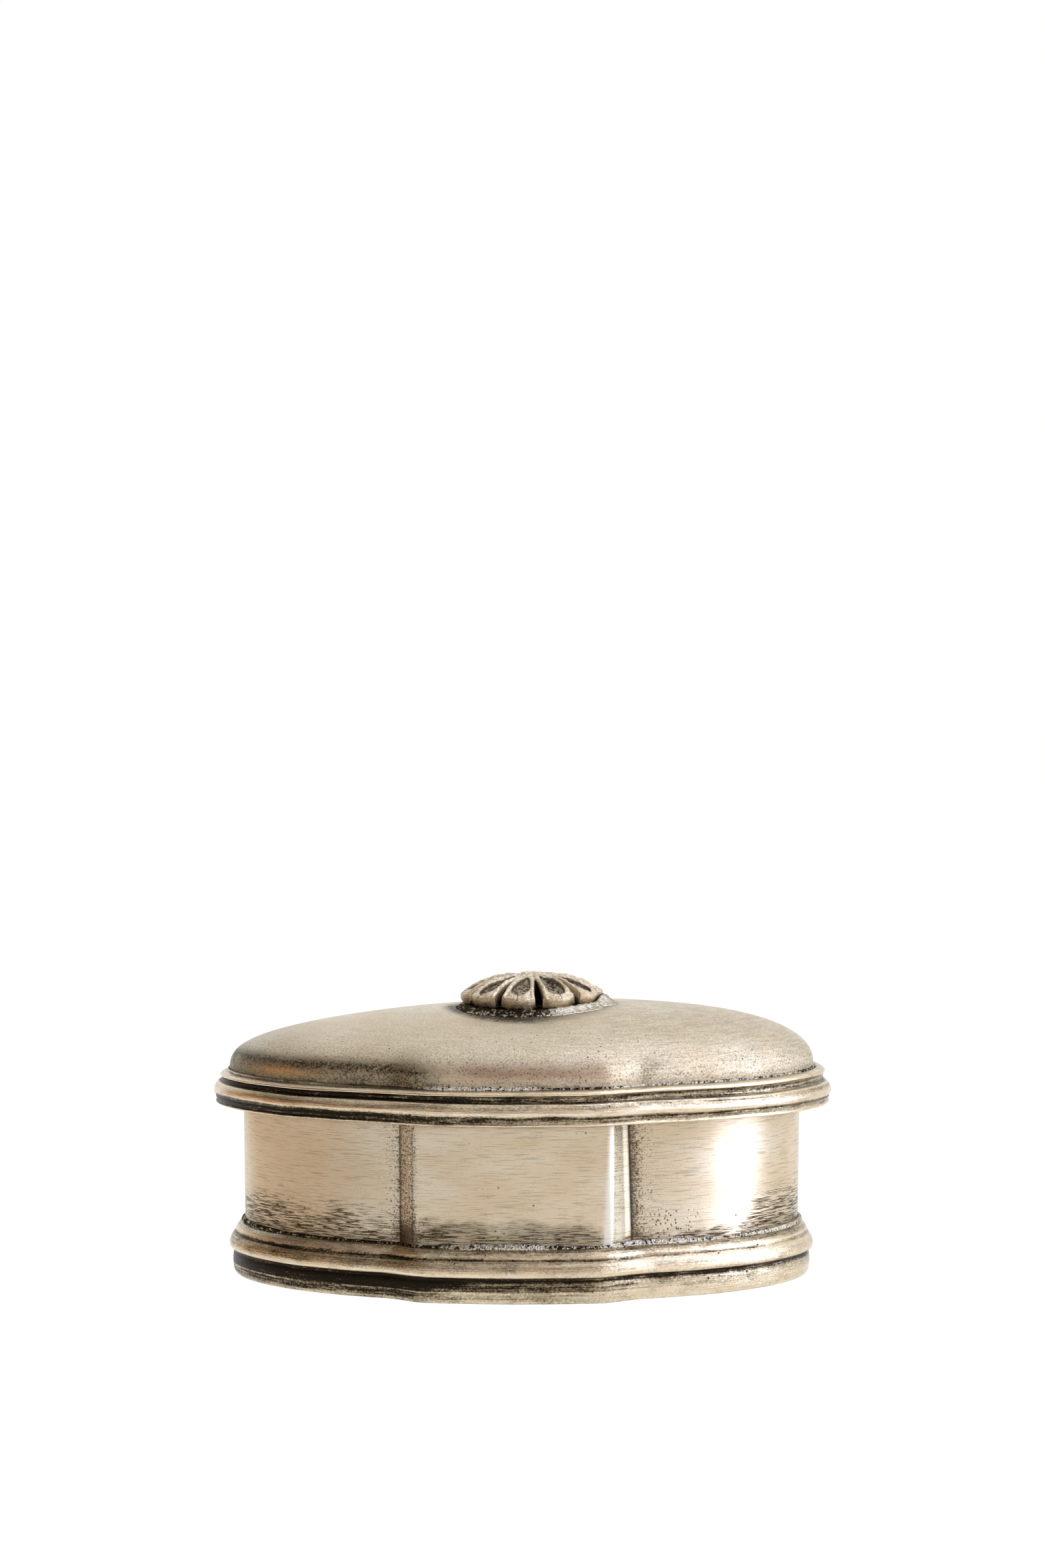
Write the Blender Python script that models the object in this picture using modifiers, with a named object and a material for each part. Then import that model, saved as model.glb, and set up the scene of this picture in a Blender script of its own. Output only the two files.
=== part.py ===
"""Oval lidded metal box with a stepped front and back, a reeded foot and a cast rosette knob.

The plan is an ellipse whose front and back stand forward as flat-curved panels. Every wall,
moulding and flange follows that one plan at its own distance outside or inside the wall.
+X runs along the box, -Y is the front and +Z is up. The origin is under the middle of the floor.
"""

import math

import bmesh
import bpy
import numpy as np
from mathutils import Matrix

# Plan of the body wall, measured on its outer face
WALL_LENGTH = 0.1080
LOBE_DEPTH = 0.0616
PANEL_STEP = 0.0024
LEFT_CORNER = 0.0203
LEFT_RETURN = 0.0022
RIGHT_CORNER = 0.0166
RIGHT_RETURN = 0.0035
RETURN_SPREAD_SHARE = 0.6
MOULDING_EASE_SHARE = 1.5

# Body
WALL_THICKNESS = 0.0012
WALL_TOP = 0.0331
FLOOR_THICKNESS = 0.0010
FOOT_HEIGHT = 0.0102
FOOT_PROJECTION = 0.0031
FOOT_EASE_START = 0.0007

# Lid
RIM_HEIGHT = 0.0066
RIM_PROJECTION = 0.0062
RIM_WEB = 0.0016
RIM_SEAT_WIDTH = 0.0014
BEZEL_THICKNESS = 0.0008
BEZEL_DROP = 0.0040
BEZEL_UPSTAND = 0.0010
DOME_INSET = 0.0026
DOME_RISE = 0.0126
DOME_LEAN = 0.0008
DOME_SHEET = 0.0010
DOME_SEAT_DEPTH = 0.0006
DOME_VALLEY_SPREAD = 0.0140

# Rosette
ROSETTE_RADIUS = 0.0140
ROSETTE_HEIGHT = 0.0049
ROSETTE_OFFSET = 0.0020
ROSETTE_TILT = math.radians(0.9)
PETAL_HOLLOW_DEPTH = 0.0013
PETAL_GROOVE_DEPTH = 0.0022
HUB_HEIGHT = 0.0004
SOLDER_CROWN_THICKNESS = 0.0003
PETAL_COUNT = 10
FIRST_PETAL_TURN = math.radians(-102.0)

# Running and soldering gap between neighbours
CLEARANCE = 0.0003

# Reeds of the foot, bottom to top: low and high as shares of the foot's height,
# how far out each end stands and how far the reed swells, as shares of its projection
FOOT_REED_SHARES = (
    (0.000, 0.425, 0.600, 0.700, 0.140),
    (0.455, 0.770, 0.720, 0.700, 0.285),
    (0.790, 1.000, 0.640, 0.200, 0.140),
)
# Reeds of the lid's rim in the same terms
RIM_REED_SHARES = (
    (0.000, 0.260, 0.800, 0.945, 0.045),
    (0.280, 0.660, 0.950, 0.820, 0.110),
    (0.715, 0.985, 0.730, 0.600, 0.130),
)
REED_POINTS = 5

# How the dome rises: height share = (1 - reach ** 2) ** DOME_FULLNESS
DOME_FULLNESS = 0.37
DOME_REACH_SHARES = (1.0, 0.992, 0.965, 0.92, 0.85, 0.74, 0.58, 0.38, 0.18)
STEP_FADE_SHARE = 0.50

# How the crown leans: share of the half length * (1 - reach ** power), scaled to peak at one
LEAN_SCALE = 1.61
LEAN_FADE_POWER = 6

# Shape of a petal, as shares of the rosette's radius or height
PETAL_FALL_SHARE = 0.46
PETAL_FALL_POWER = 2
PETAL_EDGE_FALL_SHARE = 0.19
PETAL_EDGE_FALL_POWER = 10
PETAL_UNDERCUT_SHARE = 0.93
PETAL_LIP_SHARE = 0.14
PETAL_NOTCH_SHARE = 0.14
PETAL_CROWD_SHARE = 0.55
PETAL_RIM_SHARE = 0.068
HOLLOW_START_SHARE = 0.24
HOLLOW_WIDEST_SHARE = 0.69
HOLLOW_END_SHARE = 0.87
HOLLOW_SIDE_SHARE = 0.040
GROOVE_START_SHARE = 0.40
GROOVE_HALF_SHARE = 0.010
GROOVE_WIDENING_SHARE = 0.034
GROOVE_SIDE_SHARE = 0.022
HUB_SHARE = 0.17
PETAL_RING_SHARES = (0.90, 0.81, 0.72, 0.62, 0.52, 0.42, 0.32, 0.22, 0.13)
PETAL_SAMPLES = 10
SOLDER_SPREAD_SHARE = 0.965
SOLDER_RING_SHARES = (1.0, 0.80, 0.45)
SOLDER_SAMPLES = 40

# Subdivisions of one side's plan: end, beside the return, return, beside the corner, panel
STATION_COUNTS = (12, 2, 3, 2, 6, 2, 3, 2, 12)

HALF_LENGTH = WALL_LENGTH / 2
HALF_DEPTH = LOBE_DEPTH / 2
FULL_TURN = 2 * math.pi
FOOT_INNER = CLEARANCE
WALL_BOTTOM = FLOOR_THICKNESS + CLEARANCE
RIM_BOTTOM = WALL_TOP + CLEARANCE
RIM_TOP = RIM_BOTTOM + RIM_HEIGHT
RIM_SEAT = RIM_TOP - DOME_SEAT_DEPTH - CLEARANCE
DOME_BOTTOM = RIM_SEAT + CLEARANCE
CROWN_HEIGHT = RIM_TOP + DOME_RISE
SOLDER_TOP = CROWN_HEIGHT + CLEARANCE + SOLDER_CROWN_THICKNESS
ROSETTE_BOTTOM = SOLDER_TOP + CLEARANCE


def smooth(value):
    """Ease from 0 to 1 over the range 0 to 1, flat beyond it."""
    held = np.clip(value, 0.0, 1.0)
    return held * held * (3 - 2 * held)


def plan_stations():
    """Angles round the ellipse, closer together where the plan steps forward."""
    widest = RETURN_SPREAD_SHARE * RIM_PROJECTION
    marks = [
        -HALF_LENGTH,
        -LEFT_CORNER - LEFT_RETURN - widest,
        -LEFT_CORNER - LEFT_RETURN,
        -LEFT_CORNER,
        -LEFT_CORNER + widest,
        RIGHT_CORNER - widest,
        RIGHT_CORNER,
        RIGHT_CORNER + RIGHT_RETURN,
        RIGHT_CORNER + RIGHT_RETURN + widest,
        HALF_LENGTH,
    ]
    turns = [math.acos(mark / HALF_LENGTH) for mark in marks]
    spans = []
    for start, end, count in zip(turns[:-1], turns[1:], STATION_COUNTS):
        spans.append(np.linspace(start, end, count, endpoint=False))
    left_to_right = np.concatenate(spans)
    front = FULL_TURN - left_to_right
    right_to_left = np.concatenate([turns[-1:], left_to_right[:0:-1]])
    return np.concatenate([front, right_to_left])


STATIONS = plan_stations()


def oval(offset):
    """The ellipse moved outwards along its own normal by offset, without the step."""
    x = HALF_LENGTH * np.cos(STATIONS)
    y = HALF_DEPTH * np.sin(STATIONS)
    normal_x = x / HALF_LENGTH ** 2
    normal_y = y / HALF_DEPTH ** 2
    length = np.hypot(normal_x, normal_y)
    return x + offset * normal_x / length, y + offset * normal_y / length


def step_share(spread):
    """One on the panels, nothing on the lobes, with each return widened by spread."""
    x = HALF_LENGTH * np.cos(STATIONS)
    left = (x + LEFT_CORNER + LEFT_RETURN + spread) / (LEFT_RETURN + 2 * spread)
    right = (RIGHT_CORNER + RIGHT_RETURN + spread - x) / (RIGHT_RETURN + 2 * spread)
    sharp = np.clip(left, 0.0, 1.0) * np.clip(right, 0.0, 1.0)
    soft = smooth(left) * smooth(right)
    easing = min(1.0, spread / PANEL_STEP)
    return sharp + (soft - sharp) * easing


def plan(offset, ease_start):
    """The stepped plan at a distance outside the wall.

    The returns soften as the distance grows, and faster beyond ease_start, where a strip was bent.
    """
    x, y = oval(offset)
    spread = RETURN_SPREAD_SHARE * max(0.0, offset - CLEARANCE)
    spread += MOULDING_EASE_SHARE * max(0.0, offset - ease_start)
    return x, y + np.sign(y) * PANEL_STEP * step_share(spread)


def ring(offset, height, ease_start=math.inf):
    """The stepped plan at one height, as rows of x, y, z."""
    x, y = plan(offset, ease_start)
    return np.stack([x, y, np.full_like(x, height)], axis=1)


def reed(low, high, out_low, out_high, swell):
    """Points up one reed: a straight slope plus a half sine that swells outwards."""
    share = np.linspace(0.0, 1.0, REED_POINTS)
    out = out_low + (out_high - out_low) * share + swell * np.sin(math.pi * share)
    return list(zip(out, low + (high - low) * share))


def reeded_profile(shares, bottom, height, projection):
    """Outer face of a moulding, bottom to top, as pairs of distance out and height."""
    points = []
    for low, high, out_low, out_high, swell in shares:
        points += reed(
            bottom + low * height,
            bottom + high * height,
            out_low * projection,
            out_high * projection,
            swell * projection,
        )
    return points


def metal(name, colour, roughness):
    """A plain metal surface."""
    material = bpy.data.materials.new(name)
    material.use_nodes = True
    shader = material.node_tree.nodes["Principled BSDF"]
    shader.inputs["Base Color"].default_value = (*colour, 1.0)
    shader.inputs["Roughness"].default_value = roughness
    shader.inputs["Metallic"].default_value = 1.0
    return material


def place(data, name, collection, material):
    """Put mesh or curve data in the scene under a piece's name."""
    item = bpy.data.objects.new(name, data)
    data.materials.append(material)
    collection.objects.link(item)
    return item


def mesh_piece(name, bm, collection, material, sharp_angle):
    """Turn a bmesh into a smooth-shaded piece with its faces pointing out."""
    bmesh.ops.recalc_face_normals(bm, faces=bm.faces)
    mesh = bpy.data.meshes.new(name)
    bm.to_mesh(mesh)
    bm.free()
    mesh.shade_smooth()
    mesh.set_sharp_from_angle(angle=sharp_angle)
    return place(mesh, name, collection, material)


def add_ring(bm, points):
    """Add one closed loop of vertices and return it."""
    return [bm.verts.new(point) for point in points]


def bridge(bm, lower, upper):
    """Join two loops of the same count with quads."""
    for index, vertex in enumerate(lower):
        following = (index + 1) % len(lower)
        bm.faces.new((vertex, lower[following], upper[following], upper[index]))


def loft(rings, closed):
    """Skin a stack of rings; a closed stack joins its last ring to its first."""
    bm = bmesh.new()
    loops = [add_ring(bm, points) for points in rings]
    for lower, upper in zip(loops[:-1], loops[1:]):
        bridge(bm, lower, upper)
    if closed:
        bridge(bm, loops[-1], loops[0])
    return bm, loops


def moulding(name, profile, ease_start, collection, material):
    """Carry a closed profile of distances and heights round the plan."""
    rings = [ring(out, height, ease_start) for out, height in profile]
    bm, _ = loft(rings, True)
    return mesh_piece(name, bm, collection, material, SHARP_EDGE)


def flat_piece(name, offsets, bottom, thickness, collection, material):
    """A flat outline of the plan, with a hole where a second offset is given."""
    curve = bpy.data.curves.new(name, "CURVE")
    curve.dimensions = "2D"
    curve.fill_mode = "BOTH"
    curve.extrude = thickness / 2
    for offset in offsets:
        points = ring(offset, 1.0)
        spline = curve.splines.new("POLY")
        spline.points.add(len(points) - 1)
        for target, (x, y, _) in zip(spline.points, points):
            target.co = (x, y, 0.0, 1.0)
        spline.use_cyclic_u = True
    item = place(curve, name, collection, material)
    item.location.z = bottom + thickness / 2
    return item


SHARP_EDGE = math.radians(38.0)
PETAL_SHARP_EDGE = math.radians(60.0)


def body_wall(collection, material):
    """One strip bent round the plan, standing on the floor."""
    height = WALL_TOP - WALL_BOTTOM
    return flat_piece("body_wall", (0.0, -WALL_THICKNESS), WALL_BOTTOM, height, collection, material)


def floor_plate(collection, material):
    """The sheet under the wall, flush with the bottom of the foot."""
    return flat_piece("floor_plate", (0.0,), 0.0, FLOOR_THICKNESS, collection, material)


def base_moulding(collection, material):
    """The reeded foot that wraps the wall and the edge of the floor."""
    profile = reeded_profile(FOOT_REED_SHARES, 0.0, FOOT_HEIGHT, FOOT_PROJECTION)
    profile += [(FOOT_INNER, FOOT_HEIGHT), (FOOT_INNER, 0.0)]
    return moulding("base_moulding", profile, FOOT_EASE_START, collection, material)


def lid_rim(collection, material):
    """The reeded rim: a flat web over the wall's top edge, and a seat for the dome."""
    profile = reeded_profile(RIM_REED_SHARES, RIM_BOTTOM, RIM_HEIGHT, RIM_PROJECTION)
    seat_outer = DOME_INSET + CLEARANCE
    seat_inner = seat_outer - RIM_SEAT_WIDTH
    profile += [
        (seat_outer, RIM_TOP),
        (seat_outer, RIM_SEAT),
        (seat_inner, RIM_SEAT),
        (seat_inner, RIM_BOTTOM + RIM_WEB),
        (-WALL_THICKNESS, RIM_BOTTOM + RIM_WEB),
        (-WALL_THICKNESS, RIM_BOTTOM),
    ]
    return moulding("lid_rim", profile, seat_outer, collection, material)


def lid_bezel(collection, material):
    """The inner flange that drops inside the wall and keeps the lid in place."""
    outer = -WALL_THICKNESS - CLEARANCE
    height = BEZEL_DROP + RIM_WEB + BEZEL_UPSTAND
    offsets = (outer, outer - BEZEL_THICKNESS)
    return flat_piece("lid_bezel", offsets, RIM_BOTTOM - BEZEL_DROP, height, collection, material)


def dome_height(reach):
    """Height of the dome's outer face where a ring has shrunk to this reach."""
    return RIM_TOP + DOME_RISE * (1 - reach ** 2) ** DOME_FULLNESS


def dome_lean(x, reach):
    """How much fuller the crown stands to the right: nothing at the middle and round the foot."""
    share = x / (HALF_LENGTH + DOME_INSET)
    return DOME_LEAN * LEAN_SCALE * share * (1 - reach ** LEAN_FADE_POWER)


def dome_ring(reach, height):
    """One level of the dome: the foot's oval drawn in, with the step dying away inwards."""
    x, y = oval(DOME_INSET)
    spread = RETURN_SPREAD_SHARE * (DOME_INSET - CLEARANCE) + DOME_VALLEY_SPREAD * (1 - reach)
    fade = smooth((reach - STEP_FADE_SHARE) / (1 - STEP_FADE_SHARE))
    step = PANEL_STEP * step_share(spread) * fade
    level = height + dome_lean(reach * x, reach)
    return np.stack([reach * x, reach * y + np.sign(y) * step, level], axis=1)


def lid_dome(collection, material):
    """The raised sheet of the lid, lobed at its foot and plain at its crown."""
    rings = [dome_ring(1.0, DOME_BOTTOM)]
    rings += [dome_ring(reach, dome_height(reach)) for reach in DOME_REACH_SHARES]
    bm, loops = loft(rings, False)
    crown = bm.verts.new((0.0, 0.0, CROWN_HEIGHT))
    top = loops[-1]
    for index, vertex in enumerate(top):
        bm.faces.new((vertex, top[(index + 1) % len(top)], crown))
    item = mesh_piece("lid_dome", bm, collection, material, PETAL_SHARP_EDGE)
    shell = item.modifiers.new("sheet", "SOLIDIFY")
    shell.thickness = DOME_SHEET
    shell.offset = -1.0
    shell.use_even_offset = True
    return item


def dome_surface(x, y):
    """Height of the dome's outer face above a place near the crown, inside the faded step."""
    foot_x, foot_y = oval(DOME_INSET)
    foot_turn = np.arctan2(foot_y, foot_x)
    order = np.argsort(foot_turn)
    foot_radius = np.hypot(foot_x, foot_y)
    turn = np.arctan2(y, x)
    full = np.interp(turn, foot_turn[order], foot_radius[order], period=FULL_TURN)
    reach = np.hypot(x, y) / full
    return dome_height(reach) + dome_lean(x, reach)


def rosette_rise(x):
    """How much the tilt of the rosette lifts a place this far to its right."""
    return x * math.tan(ROSETTE_TILT)


def solder_bed(collection, material):
    """The uneven solder that fills between the curved crown and the flat back of the rosette."""
    turns = np.linspace(0.0, FULL_TURN, SOLDER_SAMPLES, endpoint=False)
    radius = ROSETTE_RADIUS * SOLDER_SPREAD_SHARE
    bm = bmesh.new()
    tops = []
    bottoms = []
    for share in SOLDER_RING_SHARES:
        x = ROSETTE_OFFSET + share * radius * np.cos(turns)
        y = share * radius * np.sin(turns)
        top = SOLDER_TOP + rosette_rise(x - ROSETTE_OFFSET)
        tops.append(add_ring(bm, np.stack([x, y, top], axis=1)))
        bottoms.append(add_ring(bm, np.stack([x, y, dome_surface(x, y) + CLEARANCE], axis=1)))
    bridge(bm, bottoms[0], tops[0])
    for outer, inner in zip(tops[:-1], tops[1:]):
        bridge(bm, outer, inner)
    for outer, inner in zip(bottoms[:-1], bottoms[1:]):
        bridge(bm, inner, outer)
    under = dome_surface(ROSETTE_OFFSET, 0.0) + CLEARANCE
    upper = bm.verts.new((ROSETTE_OFFSET, 0.0, SOLDER_TOP))
    lower = bm.verts.new((ROSETTE_OFFSET, 0.0, under))
    for index in range(SOLDER_SAMPLES):
        following = (index + 1) % SOLDER_SAMPLES
        bm.faces.new((tops[-1][index], tops[-1][following], upper))
        bm.faces.new((bottoms[-1][following], bottoms[-1][index], lower))
    return mesh_piece("rosette_solder_bed", bm, collection, material, SHARP_EDGE)


def petal_across(turns):
    """Place across a petal: nothing on its middle line, one in the groove beside it."""
    petals = (turns - FIRST_PETAL_TURN) * PETAL_COUNT / FULL_TURN
    return 2 * np.abs(petals - np.round(petals))


def petal_height(share, across):
    """Height of the rosette: a falling crown, less each petal's spoon and the grooves."""
    fall = PETAL_FALL_SHARE * share ** PETAL_FALL_POWER
    fall = fall + PETAL_EDGE_FALL_SHARE * share ** PETAL_EDGE_FALL_POWER
    crown = ROSETTE_HEIGHT * (1 - fall)
    widening = smooth((share - GROOVE_START_SHARE) / (1 - GROOVE_START_SHARE))
    half_width = share * math.sin(math.pi / PETAL_COUNT)
    opening = GROOVE_HALF_SHARE + GROOVE_WIDENING_SHARE * widening
    past = max(0.0, share - HOLLOW_WIDEST_SHARE) / (HOLLOW_END_SHARE - HOLLOW_WIDEST_SHARE)
    rounding = math.sqrt(max(0.0, 1 - past ** 2))
    hollow_side = (half_width - opening - PETAL_RIM_SHARE) * rounding
    hollow = smooth((hollow_side - across * half_width) / HOLLOW_SIDE_SHARE + 0.35)
    hollow = hollow * smooth((share - HOLLOW_START_SHARE) / HOLLOW_START_SHARE)
    gap = (1 - across) * half_width
    groove = smooth((opening - gap) / GROOVE_SIDE_SHARE + 0.45) * widening
    hub = HUB_HEIGHT * smooth((HUB_SHARE - share) / HUB_SHARE)
    cut = PETAL_HOLLOW_DEPTH * hollow + PETAL_GROOVE_DEPTH * groove
    return ROSETTE_BOTTOM + crown - HUB_HEIGHT - cut + hub


def rosette(collection, material):
    """A cast flower of hollowed petals round a small hub, with a flat back."""
    samples = PETAL_COUNT * PETAL_SAMPLES
    even = np.linspace(0.0, FULL_TURN, samples, endpoint=False)
    crowd = PETAL_CROWD_SHARE * np.sin(PETAL_COUNT * even) / PETAL_COUNT
    turns = FIRST_PETAL_TURN + even + crowd
    across = petal_across(turns)
    outline = ROSETTE_RADIUS * (1 - PETAL_NOTCH_SHARE * across ** 4)

    def level(share, height):
        """One loop of the flower at a share of its outline."""
        x = share * outline * np.cos(turns)
        y = share * outline * np.sin(turns)
        return np.stack([x + ROSETTE_OFFSET, y, height + rosette_rise(x)], axis=1)

    flat = np.full(samples, ROSETTE_BOTTOM)
    edge = np.maximum(petal_height(1.0, across), ROSETTE_BOTTOM + CLEARANCE)
    lip = (edge + ROSETTE_BOTTOM) / 2
    rings = [level(PETAL_UNDERCUT_SHARE, flat), level(1.0, lip)]
    rings.append(level(1.0 - PETAL_LIP_SHARE / 4, edge))
    rings += [level(share, petal_height(share, across)) for share in PETAL_RING_SHARES]
    bm, loops = loft(rings, False)
    bm.faces.new(loops[0][::-1])
    top = loops[-1]
    crown = bm.verts.new((ROSETTE_OFFSET, 0.0, ROSETTE_BOTTOM + ROSETTE_HEIGHT))
    for index, vertex in enumerate(top):
        bm.faces.new((vertex, top[(index + 1) % len(top)], crown))
    return mesh_piece("rosette", bm, collection, material, PETAL_SHARP_EDGE)


def hang_on_lid(items):
    """Carry the lid's pieces on one empty, whose Z axis is the way the lid lifts."""
    carrier = bpy.data.objects.new("lid_lift", None)
    carrier.location.z = RIM_BOTTOM
    carrier.empty_display_size = HALF_LENGTH
    bpy.context.scene.collection.objects.link(carrier)
    for item in items:
        item.parent = carrier
        item.matrix_parent_inverse = Matrix.Translation(-carrier.location)


def main():
    """Clear the scene and build the box."""
    for item in list(bpy.data.objects):
        bpy.data.objects.remove(item, do_unlink=True)
    box = bpy.data.collections.new("oval_metal_box")
    bpy.context.scene.collection.children.link(box)

    wall_metal = metal("wall_sheet", (0.56, 0.50, 0.41), 0.34)
    moulding_metal = metal("moulding_strip", (0.52, 0.47, 0.38), 0.30)
    dome_metal = metal("dome_sheet", (0.58, 0.53, 0.44), 0.38)
    rosette_metal = metal("cast_rosette", (0.50, 0.43, 0.33), 0.36)
    solder_metal = metal("solder", (0.60, 0.58, 0.54), 0.45)

    body_wall(box, wall_metal)
    floor_plate(box, wall_metal.copy())
    base_moulding(box, moulding_metal)
    lid = [
        lid_rim(box, moulding_metal.copy()),
        lid_bezel(box, wall_metal.copy()),
        lid_dome(box, dome_metal),
        solder_bed(box, solder_metal),
        rosette(box, rosette_metal),
    ]
    hang_on_lid(lid)


main()
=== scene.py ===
"""Looks of an oval lidded metal box: brushed wall, tarnished reeds, satin dome and cast rosette."""

import math

import bpy
import numpy as np
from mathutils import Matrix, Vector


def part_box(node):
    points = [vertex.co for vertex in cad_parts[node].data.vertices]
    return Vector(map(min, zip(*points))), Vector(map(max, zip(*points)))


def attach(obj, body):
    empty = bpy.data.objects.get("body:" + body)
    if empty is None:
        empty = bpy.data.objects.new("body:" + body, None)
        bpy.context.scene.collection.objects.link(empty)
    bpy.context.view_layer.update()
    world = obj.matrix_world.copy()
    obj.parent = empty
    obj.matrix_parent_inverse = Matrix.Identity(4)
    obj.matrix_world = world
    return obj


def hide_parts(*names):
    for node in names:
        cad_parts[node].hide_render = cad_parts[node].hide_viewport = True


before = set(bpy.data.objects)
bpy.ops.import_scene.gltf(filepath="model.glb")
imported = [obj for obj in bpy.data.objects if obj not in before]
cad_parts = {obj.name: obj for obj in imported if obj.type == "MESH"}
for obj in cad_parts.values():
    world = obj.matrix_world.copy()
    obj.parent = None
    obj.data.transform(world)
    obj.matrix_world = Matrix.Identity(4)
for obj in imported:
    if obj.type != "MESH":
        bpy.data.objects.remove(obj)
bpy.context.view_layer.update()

MM = 0.001
FULL_TURN = 2 * math.pi

# Corners of the frame's solids
_, WALL_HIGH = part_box("body_wall")
FLOOR_LOW, FLOOR_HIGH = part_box("floor_plate")
FOOT_LOW, FOOT_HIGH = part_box("base_moulding")
RIM_LOW, RIM_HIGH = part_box("lid_rim")
BEZEL_LOW, BEZEL_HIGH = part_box("lid_bezel")
DOME_LOW, DOME_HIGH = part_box("lid_dome")
_, ROSETTE_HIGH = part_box("rosette")

# Plan of the box: an ellipse with a panel that stands forward at the front and the back
PANEL_STEP = 2.4 * MM
LEFT_CORNER = 20.3 * MM
LEFT_RETURN = 2.2 * MM
RIGHT_CORNER = 16.6 * MM
RIGHT_RETURN = 3.5 * MM
RETURN_SPREAD_SHARE = 0.6
MOULDING_EASE_SHARE = 1.5
CORNER_ROUND_SHARES = (0.16, 0.24)
RIGHT_VALLEY_SWAY = 0.38 * MM
HALF_LENGTH = WALL_HIGH.x
HALF_DEPTH = WALL_HIGH.y - PANEL_STEP
WALL_THICKNESS = 1.2 * MM
WALL_RIPPLE = 0.05 * MM
BEZEL_THICKNESS = 0.8 * MM
CLEARANCE = 0.3 * MM
FOOT_PROJECTION = 3.1 * MM
FOOT_EASE_START = 0.7 * MM
FOOT_TOP_DROP = 0.4 * MM
RIM_PROJECTION = RIM_HIGH.x - HALF_LENGTH
RIM_SEAT_WIDTH = 1.4 * MM
RIM_WEB_THICKNESS = 1.6 * MM
SEAM_SWELL = 0.08 * MM

# The dome
DOME_INSET = DOME_HIGH.x - HALF_LENGTH
DOME_RISE = 12.6 * MM
DOME_SHEET = 1.0 * MM
DOME_LEAN = 0.8 * MM
LEAN_SCALE = 1.61
LEAN_FADE_POWER = 6
DOME_TIP = 0.45 * MM
DOME_FULLNESS = 0.37
DOME_VALLEY_SPREAD = 14.0 * MM
STEP_FADE_SHARE = 0.50

# The rosette, a little to the right of the middle and tipped
ROSETTE_OFFSET = 2.0 * MM
ROSETTE_RADIUS = 14.0 * MM
ROSETTE_HEIGHT = 4.9 * MM
ROSETTE_SLOPE = math.tan(math.radians(0.9))
ROSETTE_BOTTOM = ROSETTE_HIGH.z - ROSETTE_HEIGHT
PETAL_COUNT = 10
FIRST_PETAL_TURN = math.radians(-102.0)
PETAL_ROUND_SHARE = 0.17
FACE_SHARE = 0.985
FILM_THICKNESS = 0.12 * MM

# Subdivisions of one side's plan: end, beside the return, return, beside the corner, panel
STATION_COUNTS = (96, 26, 26, 24, 56, 24, 26, 26, 96)
# Subdivisions of the surfaces from one edge to the other, and round the rosette
WALL_OUTER_ROWS = 44
WALL_INNER_ROWS = 16
LINE_POINTS = 112
DOME_ROWS = 88
FLOWER_ROWS = 84
FLOWER_COLUMNS = 720
SOLDER_ROWS = 40
SOLDER_COLUMNS = 480


def smooth(value):
    """Ease from 0 to 1 over the range 0 to 1, flat beyond it."""
    held = np.clip(value, 0.0, 1.0)
    return held * held * (3 - 2 * held)


def eased(value, low, high):
    """0 where the value is low and 1 where it is high, eased in between; low may be the higher."""
    return smooth((value - low) / (high - low))


def bell(value, middle, width):
    """1 at the middle, dying away over this width on both sides."""
    return np.exp(-((value - middle) / width) ** 2)


def trail(distance, length):
    """1 at no distance, dying away over this length; nothing where the distance is negative."""
    return np.where(distance > 0, np.exp(-distance / length), 0.0)


def plan_stations():
    """Angles round the ellipse, closer together where the plan steps forward."""
    widest = 4 * MM
    marks = (
        -HALF_LENGTH,
        -LEFT_CORNER - LEFT_RETURN - widest,
        -LEFT_CORNER - LEFT_RETURN,
        -LEFT_CORNER,
        -LEFT_CORNER + widest,
        RIGHT_CORNER - widest,
        RIGHT_CORNER,
        RIGHT_CORNER + RIGHT_RETURN,
        RIGHT_CORNER + RIGHT_RETURN + widest,
        HALF_LENGTH,
    )
    turns = [math.acos(mark / HALF_LENGTH) for mark in marks]
    spans = []
    for start, end, count in zip(turns[:-1], turns[1:], STATION_COUNTS):
        spans.append(np.linspace(start, end, count, endpoint=False))
    left_to_right = np.concatenate(spans)
    front = FULL_TURN - left_to_right
    right_to_left = np.append(turns[-1], left_to_right[:0:-1])
    return np.concatenate([front, right_to_left])


TURNS = plan_stations()
STATION_X = HALF_LENGTH * np.cos(TURNS)


def oval(offset):
    """The ellipse moved out along its own normal: point plus offset times unit normal."""
    x = STATION_X
    y = HALF_DEPTH * np.sin(TURNS)
    normal_x = x / HALF_LENGTH ** 2
    normal_y = y / HALF_DEPTH ** 2
    length = np.hypot(normal_x, normal_y)
    return x + offset * normal_x / length, y + offset * normal_y / length


def step_share(spread, sway=0.0):
    """One on the panels, nothing on the lobes.

    Across a return the share climbs in a straight line, crisp at the valley and rounded at the
    corner by a soft limit; the wider the spread, the more it turns into an even ease.
    """
    x = STATION_X
    left = (x + LEFT_CORNER + LEFT_RETURN + spread) / (LEFT_RETURN + 2 * spread)
    right = (RIGHT_CORNER + RIGHT_RETURN + sway + spread - x) / (RIGHT_RETURN + 2 * spread)
    crisp = 1.0
    for climb, rounding in zip((left, right), CORNER_ROUND_SHARES):
        above = np.clip((1 - climb) / rounding, -50.0, 50.0)
        limited = 1 - rounding * np.log1p(np.exp(above))
        crisp = crisp * np.clip(limited, 0.0, 1.0)
    soft = smooth(left) * smooth(right)
    easing = np.clip(spread / PANEL_STEP, 0.0, 1.0)
    return crisp + (soft - crisp) * easing


def column(values):
    """Values as a column, so that they combine with the row of stations."""
    return np.asarray(values, dtype=float).reshape(-1, 1)


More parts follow.
